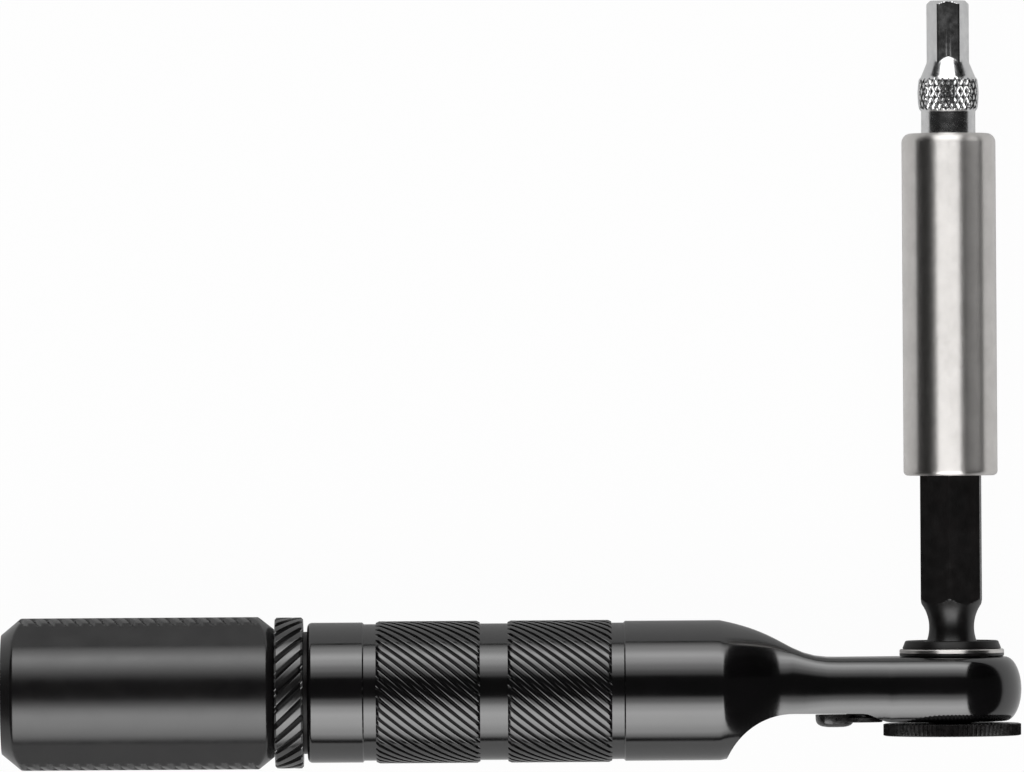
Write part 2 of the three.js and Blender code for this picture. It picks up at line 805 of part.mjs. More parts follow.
// Finishes
const finishes = {
  glossBlack: { color: 0x17161a, roughness: 0.2, metalness: 0.6 },
  satinBlack: { color: 0x232223, roughness: 0.35, metalness: 0.6 },
  blackOxide: { color: 0x1d1b1c, roughness: 0.45, metalness: 0.7 },
  steel: { color: 0xb8b6b2, roughness: 0.3, metalness: 1.0 },
  stainless: { color: 0xc9c7c3, roughness: 0.28, metalness: 1.0 },
  chrome: { color: 0xdcdcdc, roughness: 0.12, metalness: 1.0 },
  magnet: { color: 0x8f8d8b, roughness: 0.4, metalness: 1.0 },
  rubber: { color: 0x1a1a1a, roughness: 0.9, metalness: 0.0 },
};

function piece(name, finish, solid) {
  const mesh = new THREE.Mesh(geometryOf(solid), new THREE.MeshStandardMaterial(finishes[finish]));
  mesh.name = name;
  return mesh;
}

// A piece drawn along Y from its own foot, laid along X in the handle.
function stored(mesh, x) {
  mesh.rotation.z = -Math.PI / 2;
  mesh.position.x = x;
  return mesh;
}

// A group of pieces that turn about an axis along Y, at rest at one end of their swing.
function swung(x, turn, ...meshes) {
  const group = new THREE.Group();
  group.position.x = x;
  group.rotation.y = turn;
  group.add(...meshes);
  return group;
}

const driveBit = piece('drive_bit', 'chrome', hexBit(bitTipHex, Math.PI / 6));
driveBit.position.y = yBit;

// At rest the pawl lies at one end of its slide.
const slidingPawl = piece('pawl', 'blackOxide', pawl());
slidingPawl.position.set(-pawlReach, 0, -pawlShift);

const tool = new THREE.Group();
tool.add(
  piece('handle_body', 'glossBlack', handleBody()),
  piece('lock_ring', 'satinBlack', lockRing()),
  piece('end_cap', 'satinBlack', endCap()),
  piece('cap_pad', 'rubber', capPad()),
  piece('cap_o_ring', 'rubber', capORing()),
  stored(piece('spare_bit_rear', 'chrome', crossBit()), xRearBit),
  stored(piece('spare_bit_front', 'chrome', hexBit(spareTipHex, 0)), xFrontBit),
  piece('head_cover', 'blackOxide', headCover()),
  piece('ratchet_gear', 'steel', ratchetGear()),
  piece('gear_retaining_ring', 'steel', gearRetainingRing()),
  piece('nose_collar', 'blackOxide', noseCollar()),
  piece('socket_magnet', 'magnet', socketMagnet()),
  piece('thumb_wheel', 'satinBlack', thumbWheel()),
  slidingPawl,
  swung(
    -leverReach,
    leverSwing,
    piece('reversing_lever', 'satinBlack', reversingLever()),
    piece('lever_plunger', 'steel', leverPlunger()),
    piece('plunger_spring', 'steel', plungerSpring()),
  ),
  piece('holder_shank', 'blackOxide', holderShank()),
  piece('holder_sleeve', 'stainless', holderSleeve()),
  piece('holder_magnet', 'magnet', holderMagnet()),
  piece('holder_snap_ring', 'steel', holderSnapRing()),
  driveBit,
);

// The part's origin lies under the middle of the tool, on the surface that it lies on.
const widest = Math.max(capStripRadius, ringRadius, knurlRadius);
const lowest = Math.max(ringRadius, knurlRadius, headRadius);
tool.position.set(-(xCapEnd + headRadius) / 2, -(yBitTip - widest) / 2, lowest);

const part = new THREE.Group();
part.add(tool);

export default part;
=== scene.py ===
# Pocket bit ratchet lying on a pale table, seen from straight above.
# Pieces are drawn in millimetres about the tool's own axes (x along the handle from the drive axis,
# y along the drive axis from the handle's axis, z up), then brought into the frame.
import math

import bmesh
import bpy
from mathutils import Matrix, Vector


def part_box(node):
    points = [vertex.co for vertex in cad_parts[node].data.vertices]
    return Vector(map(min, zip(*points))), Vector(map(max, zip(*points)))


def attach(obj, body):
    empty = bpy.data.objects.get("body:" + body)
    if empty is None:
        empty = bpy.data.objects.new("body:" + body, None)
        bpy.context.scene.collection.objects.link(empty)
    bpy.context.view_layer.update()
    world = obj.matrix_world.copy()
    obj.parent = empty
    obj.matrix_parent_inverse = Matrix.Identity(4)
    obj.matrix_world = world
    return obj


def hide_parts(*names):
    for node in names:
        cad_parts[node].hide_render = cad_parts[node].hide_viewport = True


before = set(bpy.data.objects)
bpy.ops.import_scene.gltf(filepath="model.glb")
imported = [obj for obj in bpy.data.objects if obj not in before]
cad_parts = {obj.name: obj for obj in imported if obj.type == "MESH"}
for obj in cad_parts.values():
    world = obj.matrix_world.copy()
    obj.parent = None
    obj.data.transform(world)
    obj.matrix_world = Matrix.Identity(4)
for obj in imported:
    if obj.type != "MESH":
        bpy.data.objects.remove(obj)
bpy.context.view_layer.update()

mm = 0.001
tau = 2 * math.pi


def middle(node):
    low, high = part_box(node)
    return (low + high) / 2


# the drive axis, the handle's axis and their height give the tool's own origin
toolOrigin = Vector((middle("holder_sleeve").x, middle("lock_ring").y, middle("lock_ring").z))


def span(node, axis):
    low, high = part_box(node)
    return (low[axis] - toolOrigin[axis]) / mm, (high[axis] - toolOrigin[axis]) / mm


def halfSpan(node, axis):
    low, high = span(node, axis)
    return (high - low) / 2


def clamp(value):
    return min(1, max(0, value))


def lerp(a, b, share):
    return a + (b - a) * share


def smooth(share):
    return share * share * (3 - 2 * share)


def steps(start, end, count):
    return [start + (end - start) * i / count for i in range(count + 1)]


# falls from 1 to 0 and rises again, once for every whole number
def zigzag(value):
    return abs(value % 1 * 2 - 1)


# Mesh tools

def ringPoints(axis, along, count, radiusAt, start=0, twist=0):
    points = []
    for i in range(count):
        angle = start + tau * i / count
        radius = radiusAt(angle)
        angle += twist
        if axis == "x":
            points.append(Vector((along, radius * math.cos(angle), radius * math.sin(angle))))
        else:
            points.append(Vector((radius * math.sin(angle), along, radius * math.cos(angle))))
    return points


def edgesRound(bm, ring):
    return [bm.edges.get(pair) for pair in zip(ring, ring[1:] + ring[:1])]


def drawOut(bm, ring):
    made = bmesh.ops.extrude_edge_only(bm, edges=edgesRound(bm, ring))["geom"]
    fresh = {v for v in made if isinstance(v, bmesh.types.BMVert)}
    return [next(e.other_vert(v) for e in v.link_edges if e.other_vert(v) in fresh) for v in ring]


def startRing(bm, points, filled=False):
    ring = bmesh.ops.create_circle(bm, cap_ends=filled, radius=1, segments=len(points))["verts"]
    for vert, point in zip(ring, points):
        vert.co = point
    return ring


def loftRings(bm, rings):
    first = startRing(bm, rings[0])
    last = first
    for points in rings[1:]:
        last = drawOut(bm, last)
        for vert, point in zip(last, points):
            vert.co = point
    return first, last


def closeRing(bm, ring):
    bmesh.ops.edgeloop_fill(bm, edges=edgesRound(bm, ring))


# profile holds (along, radius) pairs; detail may change a radius by its angle and place,
# and twist turns the rings along a helix after that, so that the mesh runs with its ridges
def turned(bm, axis, profile, count, detail=None, closed=True, start=0, twist=None):
    detail = detail or (lambda angle, along, radius: radius)
    twist = twist or (lambda along: 0)
    rings = []
    for along, radius in profile:
        points = ringPoints(axis, along, count, lambda a: detail(a, along, radius), start, twist(along))
        rings.append(points)
    first, last = loftRings(bm, rings)
    if closed:
        closeRing(bm, first)
        closeRing(bm, last)
    else:
        bmesh.ops.bridge_loops(bm, edges=edgesRound(bm, first) + edgesRound(bm, last))


def roundEdge(along, radius, size, corner, parts=4):
    # corner: 'in' rounds up from an end face, 'out' rounds down to an end face
    points = []
    for turn in steps(0, math.pi / 2, parts):
        if corner == "in":
            points.append((along + size * (1 - math.cos(turn)), radius - size + size * math.sin(turn)))
        else:
            points.append((along - size + size * math.sin(turn), radius - size + size * math.cos(turn)))
    return points


def addObject(bm, name, material):
    mesh = bpy.data.meshes.new(name)
    bm.to_mesh(mesh)
    bm.free()
    mesh.materials.append(material)
    thing = bpy.data.objects.new(name, mesh)
    bpy.context.scene.collection.objects.link(thing)
    return thing


weldGap = 0.0005  # millimetres


# sharp is the angle in degrees from which an edge isn't smoothed
def finishPiece(bm, name, body, material, replaced, sharp=32):
    bmesh.ops.remove_doubles(bm, verts=bm.verts, dist=weldGap)
    bmesh.ops.recalc_face_normals(bm, faces=bm.faces)
    limit = math.radians(sharp)
    for face in bm.faces:
        face.smooth = True
    for edge in bm.edges:
        edge.smooth = len(edge.link_faces) == 2 and edge.calc_face_angle(0) < limit
    bmesh.ops.scale(bm, vec=(mm, mm, mm), verts=bm.verts)
    bmesh.ops.translate(bm, vec=toolOrigin, verts=bm.verts)
    piece = addObject(bm, name, material)
    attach(piece, body)
    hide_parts(*replaced)
    return piece


# Materials

def hexColour(text):
    parts = [int(text[i:i + 2], 16) / 255 for i in (1, 3, 5)]
    linear = [c / 12.92 if c <= 0.04045 else ((c + 0.055) / 1.055) ** 2.4 for c in parts]
    return (*linear, 1.0)


def addNode(tree, kind, settings=None, links=None):
    node = tree.nodes.new(kind)
    for name, value in (settings or {}).items():
        if isinstance(name, int) or name in node.inputs:
            node.inputs[name].default_value = value
        else:
            setattr(node, name, value)
    for name, source in (links or {}).items():
        tree.links.new(source, node.inputs[name])
    return node


def newMaterial(name, settings):
    material = bpy.data.materials.new(name)
    material.use_nodes = True
    tree = material.node_tree
    shader = tree.nodes["Principled BSDF"]
    for socket, value in settings.items():
        shader.inputs[socket].default_value = value
    place = addNode(tree, "ShaderNodeTexCoord").outputs["Object"]
    return material, tree, shader, place


def perMetre(sizeMm):
    return 1 / (sizeMm * mm)


# roughness that drifts between two values over patches of a given size
def driftRoughness(tree, shader, place, low, high, patchMm):
    patches = addNode(tree, "ShaderNodeTexNoise", {"Scale": perMetre(patchMm), "Detail": 4.0},
                      {"Vector": place})
    rough = addNode(tree, "ShaderNodeMapRange",
                    {"From Min": 0.3, "From Max": 0.7, "To Min": low, "To Max": high},
                    {"Value": patches.outputs["Fac"]})
    tree.links.new(rough.outputs["Result"], shader.inputs["Roughness"])


# colour that drifts between two values over patches of a given size
def driftColour(tree, shader, place, first, second, patchMm):
    patches = addNode(tree, "ShaderNodeTexNoise", {"Scale": perMetre(patchMm), "Detail": 5.0},
                      {"Vector": place})
    ramp = addNode(tree, "ShaderNodeValToRGB", {}, {"Fac": patches.outputs["Fac"]})
    low, high = ramp.color_ramp.elements
    low.position, low.color = 0.35, hexColour(first)
    high.position, high.color = 0.65, hexColour(second)
    tree.links.new(ramp.outputs["Color"], shader.inputs["Base Color"])


def grainBump(tree, shader, place, sizeMm, depthMm, strength):
    grain = addNode(tree, "ShaderNodeTexNoise", {"Scale": perMetre(sizeMm), "Detail": 3.0},
                    {"Vector": place})
    bump = addNode(tree, "ShaderNodeBump", {"Strength": strength, "Distance": depthMm * mm},
                   {"Height": grain.outputs["Fac"]})
    tree.links.new(bump.outputs["Normal"], shader.inputs["Normal"])


# lines left by a turning tool: bands across one axis, with a drift so that they don't look printed
def turningLines(tree, shader, place, direction, radianMm, strength, depthMm):
    # radianMm is the length of one radian of the wave, and the node counts twenty of them to a unit
    bands = addNode(tree, "ShaderNodeTexWave",
                    {"bands_direction": direction, "Scale": perMetre(radianMm) / 20, "Distortion": 1.5,
                     "Detail": 3.0, "Detail Scale": 2.0}, {"Vector": place})
    bump = addNode(tree, "ShaderNodeBump", {"Strength": strength, "Distance": depthMm * mm},
                   {"Height": bands.outputs["Fac"]})
    tree.links.new(bump.outputs["Normal"], shader.inputs["Normal"])


def glossBlackPlating():
    # forged steel, polished and plated black: deep gloss with a faint haze from handling
    material, tree, shader, place = newMaterial("glossBlackPlating", {"Metallic": 0.0, "IOR": 1.75})
    driftColour(tree, shader, place, "#060606", "#0a090a", 6)
    driftRoughness(tree, shader, place, 0.1, 0.15, 4)
    grainBump(tree, shader, place, 0.9, 0.004, 0.15)
    return material


def satinAnodised():
    # turned aluminium, blasted and anodised black: a soft sheen and very fine turning lines
    material, tree, shader, place = newMaterial("satinAnodised", {"Metallic": 0.0, "IOR": 1.56})
    driftColour(tree, shader, place, "#0e0d0e", "#131212", 3)
    driftRoughness(tree, shader, place, 0.2, 0.26, 2.5)
    turningLines(tree, shader, place, "X", 0.25, 0.08, 0.004)
    return material


def knurledBlack():
    # the same black on knurled steel: the crests are rubbed a little brighter
    material, tree, shader, place = newMaterial("knurledBlack", {"Metallic": 0.0, "IOR": 1.75})
    driftColour(tree, shader, place, "#0d0c0d", "#151414", 1.2)
    driftRoughness(tree, shader, place, 0.17, 0.25, 1.5)
    grainBump(tree, shader, place, 0.35, 0.004, 0.2)
    return material


def blackOxide(name, ior):
    # hardened steel, blackened in a hot bath: dull, with a brownish cloud here and there
    material, tree, shader, place = newMaterial(name, {"Metallic": 0.0, "IOR": ior})
    driftColour(tree, shader, place, "#0c0b0b", "#141212", 1.8)
    driftRoughness(tree, shader, place, 0.28, 0.4, 1.2)
    grainBump(tree, shader, place, 0.25, 0.004, 0.2)
    return material


def wheelBlack():
    # stamped steel, tumbled and painted black: dull with rubbed edges
    material, tree, shader, place = newMaterial("wheelBlack", {"Metallic": 0.0, "IOR": 1.6})
    driftColour(tree, shader, place, "#0c0b0b", "#161414", 1.0)
    driftRoughness(tree, shader, place, 0.22, 0.4, 0.5)
    grainBump(tree, shader, place, 0.25, 0.03, 0.6)
    return material


def turnedStainless():
    # stainless bar, turned and lightly polished: fine lines round it stretch the light along it
    material, tree, shader, place = newMaterial("turnedStainless", {"Metallic": 1.0, "Anisotropic": 0.95,
                                                                    "Anisotropic Rotation": 0.25})
    driftColour(tree, shader, place, "#d0cdca", "#dad7d4", 2.5)
    driftRoughness(tree, shader, place, 0.33, 0.4, 0.5)
    around = addNode(tree, "ShaderNodeTangent", {"direction_type": "RADIAL", "axis": "Y"})
    tree.links.new(around.outputs["Tangent"], shader.inputs["Tangent"])
    return material


def polishedChrome():
    # chrome plate over a hardened bit: bright, with fine wear that dulls it in patches
    material, tree, shader, place = newMaterial("polishedChrome", {"Metallic": 1.0})
    driftColour(tree, shader, place, "#cfcfd0", "#dcdcdc", 1.0)
    driftRoughness(tree, shader, place, 0.16, 0.26, 0.7)
    grainBump(tree, shader, place, 0.4, 0.003, 0.15)
    return material


def springSteel():
    # bright hardened strip: grey, slightly rough
    material, tree, shader, place = newMaterial("springSteel", {"Metallic": 1.0})
    driftColour(tree, shader, place, "#a5a3a0", "#bcbab6", 0.8)
    driftRoughness(tree, shader, place, 0.26, 0.38, 0.7)
    return material


def nickelMagnet():
    # sintered magnet under nickel plate: grey with a fine orange peel
    material, tree, shader, place = newMaterial("nickelMagnet", {"Metallic": 1.0})
    driftColour(tree, shader, place, "#9a9896", "#aaa8a5", 0.8)
    driftRoughness(tree, shader, place, 0.25, 0.35, 0.6)
    grainBump(tree, shader, place, 0.3, 0.005, 0.3)
    return material


def blackRubber():
    # moulded nitrile rubber: matt, finely pitted
    material, tree, shader, place = newMaterial("blackRubber", {"Metallic": 0.0, "IOR": 1.5})
    driftColour(tree, shader, place, "#121212", "#1a1a1a", 0.8)
    driftRoughness(tree, shader, place, 0.75, 0.9, 0.6)
    grainBump(tree, shader, place, 0.12, 0.01, 0.4)
    return material


handleFinish = glossBlackPlating()
capFinish = satinAnodised()
knurlFinish = knurledBlack()
oxideFinish = blackOxide("blackOxide", 1.5)
dullFinish = blackOxide("dullBlackOxide", 1.28)
wheelFinish = wheelBlack()
sleeveFinish = turnedStainless()
chromeFinish = polishedChrome()
steelFinish = springSteel()
magnetFinish = nickelMagnet()
rubberFinish = blackRubber()
print("materials made")


# Camera and light

photo = {"width": 1024, "height": 772, "pixelsPerMm": 9.4, "roll": -0.38, "distance": 1.5,
         "driveAxisPixel": 952.0, "handleAxisPixel": 688.6}


def setCamera():
    data = bpy.data.cameras.new("camera")
    camera = bpy.data.objects.new("camera", data)
    bpy.context.scene.collection.objects.link(camera)
    seenWidth = photo["width"] / photo["pixelsPerMm"] * mm
    data.sensor_fit = "HORIZONTAL"
    data.sensor_width = 36
    data.lens = data.sensor_width * photo["distance"] / seenWidth
    data.clip_end = 20
    # the drive axis and the handle's axis meet at a known pixel, which places the picture's middle
    across = (photo["width"] / 2 - photo["driveAxisPixel"]) / photo["pixelsPerMm"] * mm
    up = (photo["handleAxisPixel"] - photo["height"] / 2) / photo["pixelsPerMm"] * mm
    roll = Matrix.Rotation(math.radians(photo["roll"]), 4, "Z")
    offset = roll @ Vector((across, up, 0))
    camera.location = toolOrigin + offset + Vector((0, 0, photo["distance"]))
    camera.rotation_euler = (0, 0, math.radians(photo["roll"]))
    bpy.context.scene.camera = camera


# curved softboxes on both long sides and a weak card beyond the sleeve: glow gives (degrees from
# straight above, radiance), towards is the way it lies, offset and halfWidth are in metres across that
softboxes = {
    "farSoftbox": {"towards": (0, 1), "offset": 0, "halfWidth": 0.29,
                   "glow": [(20, 0), (28, 0.7), (37, 1.6), (51, 3.2), (59, 4.1), (74, 2.2), (86, 0.8)]},
    "nearSoftbox": {"towards": (0, -1), "offset": 0, "halfWidth": 0.29,
                    "glow": [(9, 0), (17, 1.1), (29, 3.4), (38, 4.3), (50, 3.9), (70, 2.8), (78, 1.6),
                             (84, 0.2)]},
    "fillCard": {"towards": (1, 0), "offset": 0.42, "halfWidth": 0.26,
                 "glow": [(36, 0), (56, 0.9), (82, 1.5)]},
}
softboxReach = 0.6


def emptyMaterial(name):
    material = bpy.data.materials.new(name)
    material.use_nodes = True
    material.node_tree.nodes.clear()
    return material, material.node_tree


def softboxGlow(name, glow):
    # white cloth over lamps: the glow rises and falls over the box's height
    material, tree = emptyMaterial(name)
    rise = addNode(tree, "ShaderNodeAttribute", {"attribute_name": "rise"})
    ramp = addNode(tree, "ShaderNodeValToRGB", {}, {"Fac": rise.outputs["Fac"]})
    ramp.color_ramp.interpolation = "EASE"
    low, high = glow[0][0], glow[-1][0]
    strongest = max(radiance for _, radiance in glow)
    stops = ramp.color_ramp.elements
    stops.remove(stops[1])
    for i, (angle, radiance) in enumerate(glow):
        place = (angle - low) / (high - low)
        stop = stops.new(place) if i else stops[0]
        stop.position = place
        stop.color = (*[radiance / strongest] * 3, 1)
    light = addNode(tree, "ShaderNodeEmission", {"Strength": strongest}, {"Color": ramp.outputs["Color"]})
    addNode(tree, "ShaderNodeOutputMaterial", {}, {"Surface": light.outputs[0]})
    return material


def setSoftbox(name, box):
    low, high = box["glow"][0][0], box["glow"][-1][0]
    towards = Vector(box["towards"])
    bm = bmesh.new()
    bmesh.ops.create_grid(bm, x_segments=1, y_segments=40, size=1)
    rise = bm.verts.layers.float.new("rise")
    for vert in bm.verts:
        vert[rise] = (vert.co.y + 1) / 2
        angle = math.radians(lerp(low, high, vert[rise]))
        out = softboxReach * math.sin(angle)
        across = box["offset"] + vert.co.x * box["halfWidth"]
        vert.co = Vector((out * towards.x - across * towards.y, out * towards.y + across * towards.x,
                          softboxReach * math.cos(angle)))
    cloth = addObject(bm, name, softboxGlow(name, box["glow"]))
    cloth.visible_camera = False


tableTop = {"reach": 6, "dark": "#d2d2d2", "light": "#d6d6d6", "grainMm": 40, "whiteToCamera": 0.97,
            "whiteToMetal": 0.14}


def paleTable():
    # smooth white laminate: shown almost white to the camera, with the object's own shadow kept
    material, tree = emptyMaterial("paleTable")
    grain = addNode(tree, "ShaderNodeTexNoise", {"Scale": perMetre(tableTop["grainMm"])})
    tone = addNode(tree, "ShaderNodeValToRGB", {}, {"Fac": grain.outputs["Fac"]})
    tone.color_ramp.elements[0].color = hexColour(tableTop["dark"])
    tone.color_ramp.elements[1].color = hexColour(tableTop["light"])
    matt = addNode(tree, "ShaderNodeBsdfDiffuse", {}, {"Color": tone.outputs["Color"]})
    white = addNode(tree, "ShaderNodeEmission", {"Color": (1, 1, 1, 1), "Strength": 1.0})
    rays = addNode(tree, "ShaderNodeLightPath")
    # in metal the table looks paler than its own shade, but not as pale as to the camera
    mirrored = addNode(tree, "ShaderNodeMath", {"operation": "MULTIPLY", 1: tableTop["whiteToMetal"]},
                       {0: rays.outputs["Is Glossy Ray"]})
    seen = addNode(tree, "ShaderNodeMath", {"operation": "MULTIPLY_ADD", 1: tableTop["whiteToCamera"]},
                   {0: rays.outputs["Is Camera Ray"], 2: mirrored.outputs[0]})
    mix = addNode(tree, "ShaderNodeMixShader", {},
                  {0: seen.outputs[0], 1: matt.outputs[0], 2: white.outputs[0]})
    addNode(tree, "ShaderNodeOutputMaterial", {}, {"Surface": mix.outputs[0]})
    return material


def setTable():
    bm = bmesh.new()
    bmesh.ops.create_grid(bm, x_segments=1, y_segments=1, size=tableTop["reach"])
    table = addObject(bm, "table", paleTable())


room = {"unlit": "#262626", "seen": "#f2f2f2"}


def setWorld():
    # a dim room that is pale to the camera alone
    world = bpy.data.worlds.new("studio")
    world.use_nodes = True
    tree = world.node_tree
    rays = addNode(tree, "ShaderNodeLightPath")
    # a colour mix has its two colours on inputs 6 and 7, and its result on output 2
    tone = addNode(tree, "ShaderNodeMix",
                   {"data_type": "RGBA", 6: hexColour(room["unlit"]), 7: hexColour(room["seen"])},
                   {0: rays.outputs["Is Camera Ray"]})
    tree.links.new(tone.outputs[2], tree.nodes["Background"].inputs["Color"])
    bpy.context.scene.world = world


setCamera()
for name, box in softboxes.items():
    setSoftbox(name, box)
setTable()
setWorld()
bpy.context.scene.view_settings.view_transform = "Standard"
print("camera and light set")


# Handle: threaded tail, grip with two knurled bands, shoulder, neck and head

grip = {"radius": 7.45, "edge": 0.5, "groove": 7.26, "grooveWidth": 1.3, "rearBand": 6.0, "frontBand": 10.2,
        "knurlLength": 11.05, "recess": 2.95, "crest": 7.56, "ridges": 43, "pointsPerRidge": 14, "rows": 32,
        "ridgeDepth": 0.32, "turnPerMm": 6.8, "plateau": 0.5, "runOut": 0.15, "runOutDepth": 0.5,
        "smallEdge": 0.15, "core": 4.0}
thread = {"length": 11.5, "radius": 5.9, "depth": 0.45, "pitch": 1.5, "rowsPerPitch": 10, "runOut": 1.2,
          "flank": 1.6, "flat": 0.2, "lead": 0.5, "leadRadius": 5.4, "endRadius": 5.0, "root": 6.5,
          "rootLength": 0.4, "around": 96}
neck = {"length": 12.6, "rise": 3.4, "drop": 2.49, "shoulderLength": 12.1, "knee": 7.2, "swell": 2.6,
        "lip": 0.64, "undercut": 7.5, "bowCrowding": 1.8, "blend": 8.5, "waistLength": 8.0,
        "waistHalf": 5.1, "fallPower": 1.4, "root": 0.6}
head = {"radius": 7.38, "drop": 3.45, "barrel": 1.75, "rampLength": 3.0, "rampReach": 6.6,
        "topHole": 4.42, "topDepth": 1.5, "footHole": 5.3, "footDepth": 0.7, "levels": 26, "around": 64}


def ridgeHeight(angle, count, plateau):
    # flat-topped ridges with narrow valleys: 0 in the valley, 1 on the top
    off = zigzag(angle / tau * count)
    return 1 - smooth(clamp((off - plateau) / (1 - plateau)))


def addTail(bm, xTail, xGrip):
    # a screw thread, one pitch along for each turn of the cap
    rows = int(thread["length"] / thread["pitch"] * thread["rowsPerPitch"])
    xRoot = xGrip - thread["rootLength"]

    def cutThread(angle, along, radius):
        if radius != thread["radius"]:
            return radius
        ends = clamp(min(along - xTail, xGrip - along) / thread["runOut"])
        wave = zigzag(along / thread["pitch"] - angle / tau)
        return radius - thread["depth"] * clamp(thread["flank"] * wave - thread["flat"]) * ends

    profile = [(xTail, thread["endRadius"]), (xTail, thread["leadRadius"])]
    profile += [(x, thread["radius"]) for x in steps(xTail + thread["lead"], xGrip, rows) if x < xRoot]
    profile += [(xRoot, thread["root"]), (xGrip, thread["root"])]
    turned(bm, "x", profile, thread["around"], cutThread)


def addGrip(bm, xEnd, xFront):
    xRearGroove = xEnd + grip["rearBand"]
    xRearKnurl = xRearGroove + grip["grooveWidth"]
    xRecess = xRearKnurl + grip["knurlLength"]
    xFrontKnurl = xRecess + grip["recess"]
    xFrontGroove = xFrontKnurl + grip["knurlLength"]
    xFrontBand = xFrontGroove + grip["grooveWidth"]
    radius, groove, crest, small = grip["radius"], grip["groove"], grip["crest"], grip["smallEdge"]
    knurls = [(xRearKnurl, xRecess), (xFrontKnurl, xFrontGroove)]
    profile = [(xEnd, grip["core"]), *roundEdge(xEnd, radius, grip["edge"], "in")]
    profile += [(xRearGroove - small, radius), (xRearGroove, radius - small), (xRearGroove, groove)]
    for start, end in knurls:
        profile += [(start, groove), *[(x, crest) for x in steps(start, end, grip["rows"])], (end, groove)]
    profile += [(xFrontBand, groove), (xFrontBand, radius - small), (xFrontBand + small, radius)]
    profile += [(xFront, radius), (xFront, grip["core"])]

    def twist(along):
        turning = sum(clamp((along - start) / (end - start)) * (end - start) for start, end in knurls)
        return math.radians(grip["turnPerMm"]) * turning

    def knurl(angle, along, place):
        if place != crest:
            return place
        start, end = knurls[0] if along <= xRecess else knurls[1]
        ends = clamp(min(along - start, end - along) / grip["runOut"])
        fall = 1 - ridgeHeight(angle, grip["ridges"], grip["plateau"])
        return crest - grip["ridgeDepth"] * lerp(grip["runOutDepth"], fall, ends)

    turned(bm, "x", profile, grip["ridges"] * grip["pointsPerRidge"], knurl, twist=twist)


# outlines of the shoulder, neck and head along x
xNeck = -neck["length"]
xShoulder = xNeck - neck["shoulderLength"]
bandedLength = 2 * (grip["knurlLength"] + grip["grooveWidth"]) + grip["recess"]
xGripEnd = xShoulder - bandedLength - grip["frontBand"] - grip["rearBand"]
xTailEnd = xGripEnd - thread["length"]
undercutDepth = grip["radius"] - neck["drop"]
xLip = xShoulder + neck["lip"]
xUndercut = xLip + math.sqrt(2 * neck["undercut"] * undercutDepth - undercutDepth ** 2)
xRamp = -head["rampReach"] - head["rampLength"]
# in plan the grip falls to a waist, from which straight sides meet the head's rim without a corner
xWaist = xShoulder + neck["waistLength"]
waistReach = math.hypot(xWaist, neck["waistHalf"])
taper = math.asin(head["radius"] / waistReach) - math.atan2(neck["waistHalf"], -xWaist)
xTaperEnd = -head["radius"] * math.sin(taper)
# places of the sections, close together where the underside's bow starts
stations = [xShoulder - neck["root"], *steps(xShoulder, xLip, 4)]
stations += [lerp(xLip, xUndercut, part ** neck["bowCrowding"]) for part in steps(0, 1, 24)[1:]]
for start, end in [(xUndercut, xRamp), (xRamp, -head["rampReach"]), (-head["rampReach"], xTaperEnd)]:
    stations += steps(start, end, 6)[1:]


def bezier(a, b, c, d, t):
    s = 1 - t
    return a * s ** 3 + 3 * b * t * s ** 2 + 3 * c * t ** 2 * s + d * t ** 3


def topAt(x):
    if x >= xNeck:
        return neck["rise"]
    # the shoulder's top line is an S: halve towards the curve's share of the way for this x
    knee = xShoulder + neck["knee"]
    low, high = 0.0, 1.0
    for _ in range(40):
        t = (low + high) / 2
        low, high = (t, high) if bezier(xShoulder, knee, knee, xNeck, t) < x else (low, t)
    return bezier(grip["radius"], neck["rise"] + neck["swell"], neck["rise"], neck["rise"], t)


def undersideAt(x):
    if x <= xLip:
        return -grip["radius"]
    if x < xUndercut:
        return -neck["drop"] - neck["undercut"] + math.sqrt(neck["undercut"] ** 2 - (x - xUndercut) ** 2)
    return lerp(-neck["drop"], -head["drop"], smooth(clamp((x - xRamp) / head["rampLength"])))


def halfWidthAt(x):
    if x > xWaist:
        return neck["waistHalf"] + (x - xWaist) * math.tan(taper)
    # leaves the grip softly, then eases into the waist
    fall = 1 - (1 - clamp((x - xShoulder) / neck["waistLength"]) ** neck["fallPower"]) ** 2
    return lerp(grip["radius"], neck["waistHalf"], fall)


# the head's section runs back to the grip and grows round there: its middle, half height, half width
# and how deep its sides are rounded
def sectionAt(x):
    top = topAt(x)
    share = (grip["radius"] - top) / (grip["radius"] - neck["rise"])
    bottom = -lerp(grip["radius"], head["drop"], share)
    halfWidth = halfWidthAt(x)
    rounding = 1 - clamp((x - xShoulder) / neck["blend"]) ** 2
    sideRound = lerp(head["barrel"], halfWidth, rounding)
    return (top + bottom) / 2, (top - bottom) / 2, halfWidth, sideRound


# one ring right round the plan, a share of the way from the top line down to the underside
def bodyLevel(share):
    side = []
    for x in stations:
        centre, half, halfWidth, sideRound = sectionAt(x)
        angle = share * math.acos(max(-1, (undersideAt(x) - centre) / half))
        depth = halfWidth - sideRound * (1 - math.sin(angle))
        side.append(Vector((x, centre + half * math.cos(angle), depth)))
    reach, height = side[-1].z / math.cos(taper), side[-1].y
    rim = []
    for turn in steps(-taper, math.pi + taper, head["around"])[1:-1]:
        rim.append(Vector((reach * math.sin(turn), height, reach * math.cos(turn))))
    return side + rim + [Vector((p.x, p.y, -p.z)) for p in reversed(side)]


